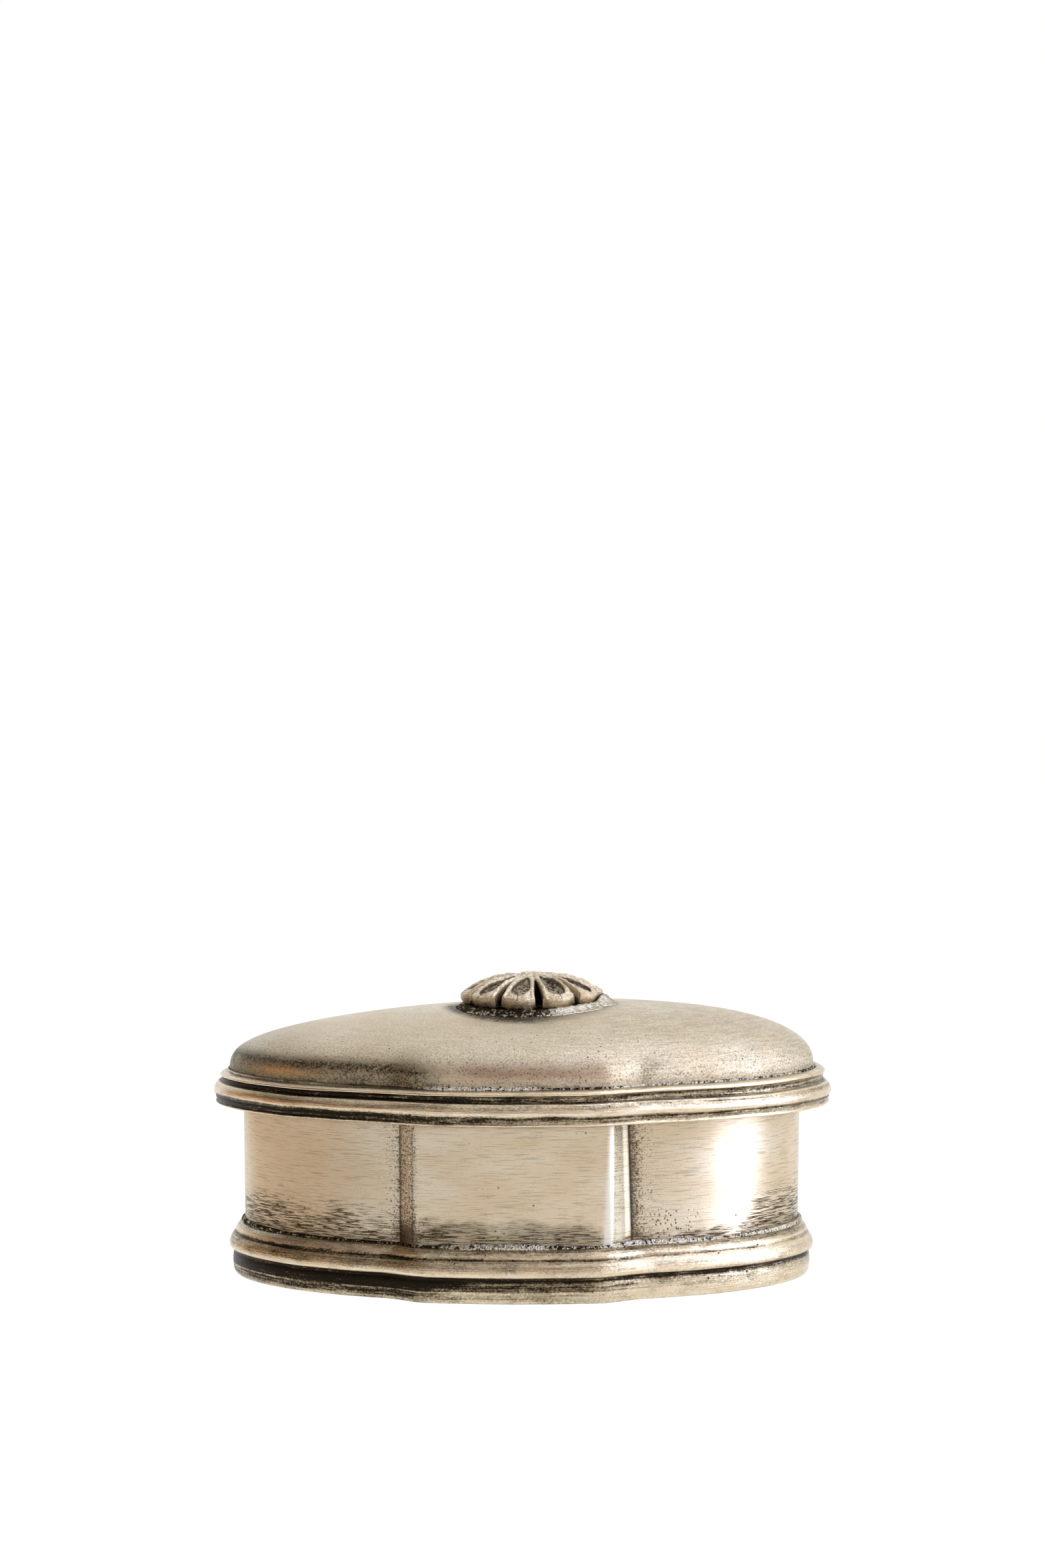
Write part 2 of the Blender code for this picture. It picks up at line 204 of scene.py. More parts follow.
def swept(out, height, sway=0.0, ease_start=math.inf):
    """A profile carried round the plan: out is the distance outside the wall, height is up.

    Each may be a column, or a grid where the profile changes along the way. Beyond ease_start a
    bent strip rounds the returns off.
    """
    x, y = oval(out)
    spread = RETURN_SPREAD_SHARE * np.maximum(0.0, out - CLEARANCE)
    spread = spread + MOULDING_EASE_SHARE * np.maximum(0.0, out - ease_start)
    y = y + np.sign(np.sin(TURNS)) * PANEL_STEP * step_share(spread, sway)
    return np.stack(np.broadcast_arrays(x, y, height), axis=-1)


def curve_through(points, count):
    """A smooth line through given knots: Catmull-Rom pieces, evenly spaced by length."""
    knots = np.array(points, dtype=float)
    padded = np.concatenate([2 * knots[:1] - knots[1:2], knots, 2 * knots[-1:] - knots[-2:-1]])
    share = np.linspace(0.0, 1.0, 24, endpoint=False).reshape(-1, 1, 1)
    before, start, end, after = padded[:-3], padded[1:-2], padded[2:-1], padded[3:]
    cubic = (
        2 * start
        + (end - before) * share
        + (2 * before - 5 * start + 4 * end - after) * share ** 2
        + (3 * start - before - 3 * end + after) * share ** 3
    ) / 2
    line = np.concatenate([cubic.transpose(1, 0, 2).reshape(-1, knots.shape[1]), knots[-1:]])
    travel = np.append(0.0, np.cumsum(np.hypot(*np.diff(line[:, :2], axis=0).T)))
    even = np.linspace(0.0, travel[-1], count)
    return [np.interp(even, travel, values) for values in line.T]


def waver(turns, seed, waves, low, high):
    """A slow unevenness round the plan: sines of seeded frequency and phase, from -1 to 1."""
    random = np.random.default_rng(seed)
    total = 0.0
    weight = 0.0
    for _ in range(waves):
        count = random.integers(low, high)
        size = random.uniform(0.5, 1.0)
        total = total + size * np.sin(count * turns + random.uniform(0.0, FULL_TURN))
        weight += size
    return total / weight


def lumps(x, y, seed, size):
    """Unevenness over a surface, from -1 to 1: plane waves of seeded direction about size long."""
    random = np.random.default_rng(seed)
    total = 0.0
    for _ in range(9):
        turn = random.uniform(0.0, FULL_TURN)
        length = size * random.uniform(0.6, 1.8)
        along = (x * math.cos(turn) + y * math.sin(turn)) / length
        total = total + np.sin(FULL_TURN * along + random.uniform(0.0, FULL_TURN))
    return total / 9


def placed(name, data):
    """A new object in the scene."""
    item = bpy.data.objects.new(name, data)
    bpy.context.scene.collection.objects.link(item)
    return item


def signed_volume(points, faces):
    """Volume inside quads, negative where they face inwards."""
    first, second, third, fourth = (points[faces[:, corner]] for corner in range(4))
    total = np.einsum("ij,ij->", first, np.cross(second, third))
    total += np.einsum("ij,ij->", first, np.cross(third, fourth))
    return total / 6


def skin(name, grid, marks, poles=False):
    """A closed mesh over a grid of points.

    Columns wrap round. Rows wrap too, unless poles is set: then the first and last rows each
    shrink to one point. marks are numbers kept on each vertex, by name, as grids.
    """
    rows, columns, _ = grid.shape
    row = np.arange(rows - 1 if poles else rows).reshape(-1, 1)
    col = np.arange(columns)
    index = np.arange(rows * columns).reshape(rows, columns)
    points = grid.reshape(-1, 3).copy()
    if poles:
        index[0, :] = 0
        index[-1, :] = (rows - 1) * columns
        points[0] = grid[0].mean(axis=0)
        points[(rows - 1) * columns] = grid[-1].mean(axis=0)
    following = (col + 1) % columns
    above = (row + 1) % rows
    corners = [index[row, col], index[row, following], index[above, following], index[above, col]]
    quads = np.stack(corners, axis=-1).reshape(-1, 4)
    if signed_volume(points, quads) < 0:
        quads = quads[:, ::-1]
    used, compact = np.unique(quads, return_inverse=True)
    faces = [list(dict.fromkeys(quad)) for quad in compact.reshape(quads.shape).tolist()]
    mesh = bpy.data.meshes.new(name)
    mesh.from_pydata(points[used].tolist(), [], faces)
    for key, values in marks.items():
        layer = mesh.attributes.new(key, "FLOAT", "POINT")
        whole = np.broadcast_to(values, (rows, columns)).reshape(-1)
        layer.data.foreach_set("value", whole[used].astype(np.float32))
    mesh.shade_smooth()
    return placed(name, mesh)


def travelled(grid):
    """Distance along the profile at each row, measured on its mean section."""
    steps = np.linalg.norm(np.diff(grid, axis=0), axis=-1).mean(axis=1)
    return column(np.append(0.0, np.cumsum(steps)))


class Value:
    """A number that varies over a surface, with arithmetic that adds Math nodes."""

    def __init__(self, tree, socket):
        """Keep the output socket and the node tree that it belongs to."""
        self.tree = tree
        self.socket = socket

    def __add__(self, other):
        return self.tree.math("ADD", self, other)

    __radd__ = __add__

    def __mul__(self, other):
        return self.tree.math("MULTIPLY", self, other)

    __rmul__ = __mul__

    def __sub__(self, other):
        return self.tree.math("SUBTRACT", self, other)

    def __rsub__(self, other):
        return self.tree.math("SUBTRACT", other, self)

    def held(self):
        """The value kept between 0 and 1."""
        return self.tree.math("ADD", self, 0.0, clamp=True)

    def between(self, low, high):
        """0 at low and 1 at high, eased in between and flat beyond; low may be the higher one."""
        settings = {"interpolation_type": "SMOOTHSTEP"}
        sockets = {"Value": self, "From Min": low, "From Max": high}
        return Value(self.tree, self.tree.node("ShaderNodeMapRange", settings, sockets).outputs[0])


class Tree:
    """A node tree, with one way to add a node."""

    def __init__(self, owner):
        """Turn on the nodes of a material or of the world, and keep them."""
        owner.use_nodes = True
        self.nodes = owner.node_tree

    def plug(self, target, value):
        """Set or link one input."""
        if isinstance(value, Value):
            self.nodes.links.new(value.socket, target)
        elif isinstance(value, bpy.types.NodeSocket):
            self.nodes.links.new(value, target)
        elif isinstance(value, tuple) and target.type == "RGBA":
            target.default_value = (*value, 1.0)
        else:
            target.default_value = value

    def node(self, kind, settings=None, sockets=None):
        """A node of this type, its settings first and then its sockets' values or links."""
        made = self.nodes.nodes.new(kind)
        for key, value in (settings or {}).items():
            setattr(made, key, value)
        for key, value in (sockets or {}).items():
            self.plug(made.inputs[key], value)
        return made

    def math(self, operation, first, second, clamp=False):
        """One Math node."""
        settings = {"operation": operation, "use_clamp": clamp}
        return Value(self, self.node("ShaderNodeMath", settings, {0: first, 1: second}).outputs[0])

    def blend(self, amount, first, second):
        """A colour between two others; the amount is kept between 0 and 1."""
        sockets = {0: amount, 6: first, 7: second}
        return self.node("ShaderNodeMix", {"data_type": "RGBA"}, sockets).outputs[2]

    def layered(self, colour, *layers):
        """A colour with others laid over it in turn, each an amount and a tint."""
        for amount, tint in layers:
            colour = self.blend(amount, colour, tint)
        return colour

    def rays(self):
        """Masks of the rays that come from the camera, a gloss and a clear body."""
        path = self.node("ShaderNodeLightPath")
        names = ("Is Camera Ray", "Is Glossy Ray", "Is Transmission Ray")
        return [Value(self, path.outputs[name]) for name in names]

    def split(self, vector):
        """The three parts of a vector."""
        node = self.node("ShaderNodeSeparateXYZ", sockets={0: vector})
        return [Value(self, node.outputs[axis]) for axis in "XYZ"]


class Finish(Tree):
    """A procedural metal finish, built node by node."""

    def __init__(self, name, brushed=0.0):
        """Start from plain metal; a brushed one throws its highlights across the brush lines."""
        self.material = bpy.data.materials.new(name)
        super().__init__(self.material)
        self.shader = self.nodes.nodes["Principled BSDF"]
        self.shader.inputs["Metallic"].default_value = 1.0
        self.shader.inputs["Anisotropic"].default_value = brushed
        self.shader.inputs["Anisotropic Rotation"].default_value = 0.25 if brushed else 0.0
        self.place = self.node("ShaderNodeTexCoord").outputs["Object"]
        self.right, self.back, self.up = self.split(self.place)

    def mark(self, name):
        """A number kept on each vertex."""
        return Value(self, self.node("ShaderNodeAttribute", {"attribute_name": name}).outputs["Fac"])

    def noise(self, size, detail, rough, where=None):
        """Fractal noise about a half, with features of this size."""
        where = self.place if where is None else where
        sockets = {"Vector": where, "Scale": 1 / size, "Detail": detail, "Roughness": rough}
        return Value(self, self.node("ShaderNodeTexNoise", sockets=sockets).outputs["Fac"])

    def drawn(self, length, width, detail, rough, across=None, deep=None):
        """Noise in marks this long along the box, this wide across and this deep."""
        rise = (self.up if across is None else across) * (1 / width)
        sockets = {"X": self.right * (1 / length), "Y": self.back * (1 / (deep or length)), "Z": rise}
        where = self.node("ShaderNodeCombineXYZ", sockets=sockets).outputs[0]
        return self.noise(1.0, detail, rough, where)

    def cells(self, size):
        """Distance to the nearest of points scattered this far apart."""
        sockets = {"Vector": self.place, "Scale": 1 / size}
        return Value(self, self.node("ShaderNodeTexVoronoi", sockets=sockets).outputs["Distance"])

    def bump(self, height, distance):
        """Relief from a height."""
        return self.node("ShaderNodeBump", sockets={"Height": height, "Distance": distance}).outputs[0]

    def done(self, colour, roughness, normal):
        """Plug the results into the shader."""
        self.plug(self.shader.inputs["Base Color"], colour)
        self.plug(self.shader.inputs["Roughness"], roughness)
        self.plug(self.shader.inputs["Normal"], normal)
        return self.material


# Colours of the metal, its tarnish and its dirt, and of painted shade, highlights and reflections
PEWTER = (0.82, 0.665, 0.47)
PEWTER_PALE = (0.88, 0.77, 0.60)
PEWTER_ROSY = (0.53, 0.39, 0.285)
PEWTER_WARM = (0.66, 0.50, 0.31)
REFLECTED_COPPER = (0.36, 0.235, 0.155)
OLIVE = (0.30, 0.255, 0.16)
BROWN = (0.17, 0.122, 0.075)
SOOT = (0.020, 0.016, 0.010)
DIM_OLIVE = (0.150, 0.130, 0.085)
REFLECTED_AMBER = (0.62, 0.38, 0.17)
SILVER = (0.94, 0.91, 0.84)
SOLDER_GREY = (0.72, 0.64, 0.49)


def brushed_wall(low, high):
    """Wall sheet: fine brush lines, scratches that gather low down, dirt and painted shade by the
    creases, a painted highlight on the right corner.
    """
    f = Finish("wall_sheet", 0.97)
    lines = f.drawn(4.6 * MM, 0.19 * MM, 2.0, 0.55)
    grain = f.noise(0.38 * MM, 4.0, 0.85)
    cloud = f.drawn(16 * MM, 8 * MM, 3.0, 0.55)
    patch = f.drawn(8 * MM, 3.4 * MM, 4.0, 0.65)
    scrape = f.drawn(3.0 * MM, 0.17 * MM, 2.0, 0.50)
    outside = f.mark("outside")
    level = (f.up - low) * (1 / (high - low))
    left_end = f.right.between(-12 * MM, -36 * MM)
    right_end = f.right.between(40 * MM, 47 * MM)
    on_panel = f.right.between(-20 * MM, -17 * MM) * f.right.between(18 * MM, 10 * MM)
    reach = left_end * 0.30 + right_end * 0.36 + on_panel * 0.14 + 0.12
    lower = (level + (patch - 0.5) * 0.35).between(reach, reach * 0.35) * outside
    scratch = (scrape + lower * 0.10 - 0.59).between(0.0, 0.04) * lower
    stray = scrape.between(0.66, 0.76) * 0.4
    pits = f.cells(1.3 * MM).between(0.20, 0.10) * (patch + lower * 0.10).between(0.60, 0.66)
    spotted = f.right.between(22 * MM, 25 * MM) * f.right.between(35 * MM, 31 * MM)
    spotted = spotted * level.between(0.30, 0.23) * patch.between(0.44, 0.52) * outside
    pits = pits + f.cells(0.7 * MM).between(0.40, 0.20) * spotted
    shade_top = on_panel * 0.16 + 0.10
    ragged = level + (patch - 0.5) * 0.26 + (scrape - 0.5) * 0.30
    foot = ragged.between(shade_top, shade_top * 0.4) * outside
    foot = foot * (on_panel * 0.15 + left_end * 0.05 + 0.40)
    # Dirt by the left corner, and painted shade: a shadow right of the right valley and a darker left
    # facet.
    dirt_and_shade = (f.mark("dirt_and_shade") * 1.1 + (grain - 0.5) * 2.6 + (scrape - 0.5) * 0.8).between(0.34, 0.72)
    dirt_and_shade = dirt_and_shade * f.mark("dirt_and_shade").between(0.02, 0.20)
    haze_and_shade = f.mark("haze_and_shade") * (grain * 1.6 + 0.2)
    shade = lines.between(0.50, 0.34) * 0.24 + grain.between(0.48, 0.32) * 0.34 + haze_and_shade
    colour = f.layered(
        PEWTER,
        (cloud.between(0.32, 0.7), PEWTER_PALE),
        # Painted warm reflection towards the left end.
        (f.right.between(-18 * MM, -46 * MM) * 0.50, PEWTER_WARM),
        (shade, OLIVE),
        (lines.between(0.47, 0.32) * 0.24, BROWN),
        (foot + lower * 0.10, OLIVE),
        ((foot * scrape.between(0.46, 0.60)).held() * 0.7, BROWN),
        ((scratch + stray + pits).held() * 0.95, BROWN),
        ((scratch * grain.between(0.44, 0.54)).held() * 0.8, SOOT),
        (dirt_and_shade * 0.86, BROWN),
        ((dirt_and_shade * grain.between(0.50, 0.64)).held() * 0.7, SOOT),
        # Painted shade: the dark crease lines.
        (f.mark("crease"), SOOT),
        # Painted highlight: silver down the rounded right corner.
        (f.mark("wear_and_sheen"), SILVER),
    )
    roughness = lines * 0.12 + grain * 0.12 + dirt_and_shade * 0.10 + 0.28
    relief = f.bump(lines + grain * 0.8 - scratch - pits, 0.025 * MM)
    return f.done(colour, roughness, relief)


def reeded_strip(name):
    """Reeds: crests rubbed bright, grooves black, painted shade under the lips, drawn lines along
    them.
    """
    f = Finish(name, 0.3)
    across = f.mark("across")
    lines = f.drawn(14 * MM, 0.30 * MM, 4.0, 0.8, across)
    rub = f.drawn(6 * MM, 0.9 * MM, 4.0, 0.7, across)
    blotch = f.drawn(5 * MM, 2.5 * MM, 4.0, 0.65, across)
    grain = f.noise(0.46 * MM, 4.0, 0.85)
    # The mark is patina in the grooves, and painted shade under the lips and on faces that look down.
    tarnish_and_shade = f.mark("tarnish_and_shade")
    wear_and_sheen = (rub - 0.5) * 1.1 + (lines - 0.5) * 2.0 + (grain - 0.5) * 1.7 + (blotch - 0.5) * 0.7
    grime_and_shade = tarnish_and_shade + wear_and_sheen * (tarnish_and_shade * 0.6 + 0.5)
    pits = f.cells(1.0 * MM).between(0.24, 0.12) * blotch.between(0.52, 0.60)
    pits = pits * tarnish_and_shade.between(0.15, 0.4)
    colour = f.layered(
        PEWTER,
        (rub.between(0.44, 0.64), PEWTER_PALE),
        (blotch.between(0.50, 0.68) * 0.45, PEWTER_ROSY),
        (lines.between(0.58, 0.36) * 0.40, OLIVE),
        (grime_and_shade.between(0.16, 0.50) * 0.80, OLIVE),
        (grime_and_shade.between(0.46, 0.76), BROWN),
        (grime_and_shade.between(0.66, 0.95), SOOT),
        (pits, SOOT),
    )
    roughness = lines * 0.16 + grime_and_shade.between(0.3, 1.0) * 0.20 + 0.12
    relief = f.bump(lines * 1.4 + rub * 0.8 + grain * 0.8 - pits * 2.0, 0.050 * MM)
    return f.done(colour, roughness, relief)


def satin_dome(low):
    """Dome: satin grain, rubbed lines along the box, painted shade, shadow and reflections, and near
    its foot patina with painted dark reflection.
    """
    f = Finish("dome_sheet", 0.35)
    grain = f.noise(0.36 * MM, 5.0, 0.80)
    rub = f.drawn(5 * MM, 0.34 * MM, 5.0, 0.8)
    cloud = f.noise(12 * MM, 3.0, 0.55)
    stain = f.drawn(3.4 * MM, 1.0 * MM, 5.0, 0.75)
    smudge_and_shade = f.mark("smudge_and_shade")
    foot = (f.up + (stain - 0.5) * (2.0 * MM)).between(low + 2.0 * MM, low + 0.3 * MM)
    speckled = (grain - 0.5) * 5.2 + (stain - 0.5) * 1.6
    # Dark: the smudge-and-shade mark, and near the foot patina with painted dark reflection of the
    # room.
    dark = (smudge_and_shade * (speckled * 1.3 + 1.0) + foot * 0.4 * (stain + 0.2)).held()
    front_reflection = f.mark("front_reflection") * (stain + 0.4)
    haze_and_shade = f.mark("haze_and_shade") * (stain * 0.8 + 0.6)
    amber_light = f.mark("amber_light") * (stain * 1.6 + 0.2)
    speck = f.cells(1.6 * MM).between(0.14, 0.06) * cloud.between(0.44, 0.58)
    dots = f.cells(0.55 * MM).between(0.42, 0.18) * f.up.between(low + 8 * MM, low + 3 * MM)
    dots = dots * stain.between(0.36, 0.54)
    rubbed = f.right.between(-10 * MM, 25 * MM) * 0.14 + 0.12
    shade = grain.between(0.60, 0.40) * 0.44 + rub.between(0.60, 0.40) * rubbed + haze_and_shade + 0.13
    deep_shade = (smudge_and_shade * 0.9 + speckled - 0.45).between(0.2, 0.9) * smudge_and_shade.between(0.2, 0.8)
    colour = f.layered(
        PEWTER,
        (cloud.between(0.3, 0.7), PEWTER_PALE),
        (shade, OLIVE),
        (front_reflection, REFLECTED_COPPER),
        (dark, DIM_OLIVE),
        (deep_shade, SOOT),
        (amber_light, REFLECTED_AMBER),
        (stain.between(0.54, 0.64) * grain.between(0.44, 0.56) * foot, SOOT),
        (dots * 0.75, BROWN),
        (speck * 0.8, SOOT),
    )
    roughness = grain * 0.22 + rub * 0.06 + dark * 0.10 + dots * 0.10 + 0.20
    relief = f.bump(grain + rub * 0.4 - speck, 0.095 * MM)
    return f.done(colour, roughness, relief)


def cast_flower():
    """Rosette: rubbed bright on its rims, granular in its hollows and black in its grooves."""
    f = Finish("cast_rosette")
    hollow = f.mark("hollow")
    groove = f.mark("groove")
    end = f.mark("end")
    grain = f.noise(0.42 * MM, 4.0, 0.85)
    crumb = f.noise(0.62 * MM, 2.0, 0.6)
    patch = f.noise(2.4 * MM, 3.0, 0.6)
    outline = hollow * (1 - hollow) * 4.4
    colour = f.layered(
        PEWTER_PALE,
        (patch.between(0.42, 0.62), PEWTER),
        (end * 0.5 + patch.between(0.50, 0.62) * 0.3, PEWTER_WARM),
        (hollow * 0.5, PEWTER_WARM),
        (grain.between(0.58, 0.42) * 0.50, OLIVE),
        ((hollow + (crumb - 0.5) * 6.0).between(0.70, 1.3) * hollow * 0.80, BROWN),
        ((hollow + (crumb - 0.5) * 9.0).between(1.30, 1.8) * hollow, SOOT),
        ((outline + (grain - 0.5) * 2.6).between(0.45, 0.95) * 0.85, SOOT),
        ((groove + (grain - 0.5) * 1.2).between(0.25, 0.65), SOOT),
    )
    roughness = grain * 0.16 + hollow * 0.10 + groove * 0.2 + 0.12
    relief = f.bump(grain * (hollow * 0.9 + 0.45) + crumb * hollow, 0.32 * MM)
    return f.done(colour, roughness, relief)


def rough_solder():
    """Solder: grey granular metal, bright where it was filed, dark in its pores, painted dark as
    shadow under the rosette.
    """
    f = Finish("solder")
    f.shader.inputs["Specular Tint"].default_value = (0.60, 0.56, 0.48, 1.0)
    grain = f.drawn(0.45 * MM, 0.40 * MM, 3.0, 0.75, deep=1.8 * MM)
    patch = f.noise(1.6 * MM, 3.0, 0.6)
    dark = (f.mark("dark") + (grain - 0.5) * 4.2 + (patch - 0.5) * 1.4).between(0.30, 0.80)
    colour = f.layered(
        SOLDER_GREY,
        (patch.between(0.4, 0.6), SILVER),
        (grain.between(0.62, 0.36) * 0.4, OLIVE),
        (dark, SOOT),
    )
    roughness = grain * 0.22 + dark * 0.20 + 0.18
    relief = f.bump(grain + patch, 0.34 * MM)
    return f.done(colour, roughness, relief)


def plain_sheet(name):
    """Hidden faces: satin sheet with soft tarnish clouds."""
    f = Finish(name)
    grain = f.noise(0.3 * MM, 3.0, 0.6)
    cloud = f.noise(10 * MM, 4.0, 0.6)
    stain = f.noise(2.5 * MM, 4.0, 0.7)
    colour = f.layered(
        PEWTER,
        (cloud.between(0.35, 0.7), PEWTER_ROSY),
        (grain.between(0.6, 0.35) * 0.2, OLIVE),
        (stain.between(0.55, 0.75) * 0.7, BROWN),
    )
    roughness = grain * 0.12 + cloud * 0.15 + 0.22
    return f.done(colour, roughness, f.bump(grain, 0.016 * MM))


def wall_piece():
    """The wall: outer face, rounded top edge, inner face and bottom edge, carried round the plan."""
    low = FLOOR_HIGH.z + CLEARANCE
    high = WALL_HIGH.z
    edge = WALL_THICKNESS / 2
    outer = np.linspace(low, high - edge, WALL_OUTER_ROWS)
    arc = np.linspace(0.0, math.pi, 9)[1:-1]
    inner = np.linspace(high - edge, low, WALL_INNER_ROWS)
    out = np.concatenate([0 * outer, edge * np.cos(arc) - edge, 0 * inner - WALL_THICKNESS])
    height = np.concatenate([outer, high - edge + edge * np.sin(arc), inner])
    level = column((height - FOOT_HIGH.z) / (high - FOOT_HIGH.z))
    sway = RIGHT_VALLEY_SWAY * (1 - 2 * level)
    ripple = waver(TURNS, 5, 5, 6, 22) * np.sin(math.pi * np.clip(level, 0.0, 1.0))
    grid = swept(column(out) - np.abs(ripple) * WALL_RIPPLE, column(height), sway)
    x = STATION_X
    past = x + LEFT_CORNER
    left_valley = past + LEFT_RETURN
    right_valley = x - RIGHT_CORNER - RIGHT_RETURN - sway
    lowest = eased(level, 0.35, 0.0)
    # Painted shade: dark lines in the two valleys and on the rounded left corner.
    crease = bell(left_valley, 0.0, 0.17 * MM) * 0.85 + bell(right_valley, 0.0, 0.22 * MM)
    crease = crease + bell(past, 0.1 * MM, 0.13 * MM) * 0.6 * (1 - level)
    # A painted shadow right of the right valley and painted shade on the left facet join the dirt near
    # the left corner.
    shadow = trail(right_valley, 2.9 * MM) * 0.78
    facet = eased(left_valley, 0.0, 0.2 * MM) * eased(past, 0.2 * MM, 0.0) * 0.45
    smear = trail(past, (1.0 + 1.6 * lowest) * MM) * (0.58 + 0.36 * lowest)
    before = trail(-left_valley, 2.8 * MM) * (0.48 + 0.2 * lowest)
    lip = eased(x, RIGHT_CORNER + 0.2 * MM, RIGHT_CORNER + 0.6 * MM)
    lip = lip * eased(right_valley, -0.9 * MM, -1.3 * MM)
    dirt_and_shade = shadow + facet + smear + before + lip * (0.16 + 0.26 * level ** 3)
    dirt_and_shade = dirt_and_shade + lowest ** 3 * (facet > 0.1)
    # Darkens the right return facet, more towards the top.
    haze_and_shade = lip * (0.66 + 0.2 * level)
    # A painted highlight down the rounded right corner, wider low down.
    bright_edge = RIGHT_CORNER - (0.8 + 1.3 * (1 - level)) * MM
    wear_and_sheen = eased(x, bright_edge, bright_edge + 1.1 * MM)
    wear_and_sheen = wear_and_sheen * eased(x, RIGHT_CORNER + 0.6 * MM, RIGHT_CORNER)
    outside = column(out > -edge / 2)
    marks = {"crease": crease, "dirt_and_shade": dirt_and_shade, "haze_and_shade": haze_and_shade, "wear_and_sheen": wear_and_sheen * 0.75, "outside": 1.0}
    marks = {key: values * outside for key, values in marks.items()}
    return skin("wall_sheet", grid, marks)


# Knots of the foot's outer line from the bottom: distance out, height, and tarnish with painted shade
# right and left
FOOT_LINE_SHARES = (
    (0.580, 0.000, 0.35, 0.85), (0.680, 0.025, 0.10, 0.50), (0.745, 0.080, 0.10, 0.75),
    (0.785, 0.160, 0.05, 1.00), (0.797, 0.205, 0.12, 0.60), (0.800, 0.235, 0.20, 1.20),
    (0.790, 0.310, 0.26, 1.35), (0.755, 0.375, 0.36, 1.35), (0.700, 0.425, 0.95, 1.35),
    (0.725, 0.462, 1.00, 1.10), (0.880, 0.485, 0.62, 0.40), (0.975, 0.515, 0.30, 0.00),
    (1.000, 0.560, 0.16, 0.22), (0.975, 0.620, 0.20, 0.42), (0.900, 0.685, 0.18, 0.50),
    (0.800, 0.735, 0.10, 0.46), (0.700, 0.770, 0.28, 0.76), (0.640, 0.800, 0.52, 0.95),
    (0.615, 0.835, 0.25, 0.60), (0.590, 0.858, 0.00, 0.15), (0.530, 0.885, 0.40, 0.20),
    (0.400, 0.935, 0.58, 0.35), (0.240, 0.970, 0.50, 0.50), (0.130, 0.985, 0.55, 0.80),
)
# Knots of the lid rim's outer line in the same terms
RIM_LINE_SHARES = (
    (0.760, 0.000, 0.50, 0.90), (0.860, 0.004, 0.28, 0.50), (0.925, 0.025, 0.12, 0.10),
    (0.935, 0.060, 0.16, 0.80), (0.915, 0.090, 0.50, 1.10), (0.912, 0.125, 0.62, 1.20),
    (0.930, 0.165, 0.65, 1.20), (0.940, 0.205, 0.72, 1.20), (0.935, 0.240, 0.85, 1.20),
    (0.955, 0.275, 0.68, 1.10), (0.985, 0.315, 0.25, 0.85), (1.000, 0.375, 0.00, 0.15),
    (0.990, 0.440, 0.00, 0.00), (0.955, 0.520, 0.32, 0.14), (0.905, 0.585, 0.42, 0.14),
    (0.865, 0.625, 0.16, 0.15), (0.820, 0.645, 0.50, 0.70), (0.770, 0.670, 0.75, 1.10),
    (0.735, 0.720, 0.78, 1.25), (0.735, 0.785, 0.80, 1.25), (0.765, 0.835, 0.70, 1.05),
    (0.795, 0.865, 0.15, 0.20), (0.785, 0.905, 0.00, 0.05), (0.730, 0.945, 0.20, 0.25),
    (0.640, 0.975, 0.30, 0.40), (0.530, 0.990, 0.45, 0.60),
)


def leftness(middle, end, bright):
    """How far the darker colouring of the left end has taken over: middle and end give where it sets
    in.

    Right of the panel it drops by bright, so that the reeds are lighter there, or darker below 0.
    """
    x = STATION_X
    first = eased(x, middle + 12 * MM, middle - 12 * MM)
    second = eased(x, end + 9 * MM, end - 9 * MM)
    return (first + second) / 2 - bright * eased(x, 13 * MM, 21 * MM)


def moulding_piece(
    name, shares, bottom, height, projection, inside, ease_start, wave, blackened, filed=0.0, tip=0.0
):
    """A reeded strip round the plan.

    Its outer line runs smoothly through the knots, and the inside points close it. wave is how
    far its reeds wander up and down; they hold still at its top and its bottom. blackened is how
    far each station has the darker colouring of the left end. filed is how much is missing at that
    end, and tip is how far its top rises to the right.
    """
    knots = [(out * projection, up * height, *tarnish_and_shade) for out, up, *tarnish_and_shade in shares]
    out, up, clean, black = curve_through(knots, LINE_POINTS)
    inner_out, inner_up = np.array(inside).T
    still = np.zeros(len(inside))
    share = column(np.append(up / height, still))
    fixed = column(np.append(np.ones(LINE_POINTS), still))
    out = column(np.append(out * (projection / out.max()), inner_out))
    up = column(np.append(np.maximum(up, 0.0) + bottom, inner_up))
    clean = column(np.append(clean, still + 0.5))
    black = column(np.append(black, still + 0.5))
    tarnish_and_shade = clean + (black - clean) * blackened
    first = waver(TURNS, 21, 6, 5, 24)
    second = waver(TURNS, 34, 6, 5, 24)
    drift = wave * (first * (1 - share) + second * share) * np.abs(np.sin(math.pi * share)) ** 0.8
    left_end = eased(np.cos(TURNS), -0.45, -0.95)
    pull = ((1 + waver(TURNS, 55, 6, 4, 26)) * 0.05 * MM + left_end * filed) * fixed
    lift = tip * np.cos(TURNS) * eased(share, 0.55, 0.95)
    grid = swept(out - pull, up + drift * fixed + lift, ease_start=ease_start)
    return skin(name, grid, {"across": travelled(grid), "tarnish_and_shade": tarnish_and_shade})


def foot_piece():
    """The reeded foot round the bottom of the wall."""
    top = FOOT_HIGH.z
    low = FOOT_LOW.z
    inside = [(CLEARANCE, top - FOOT_TOP_DROP), (CLEARANCE, low)]
    wave = 0.10 * MM
    return moulding_piece(
        "foot_reeds", FOOT_LINE_SHARES, low, top - low, FOOT_PROJECTION, inside, FOOT_EASE_START,
        wave, leftness(16 * MM, -18 * MM, -0.12),
    )


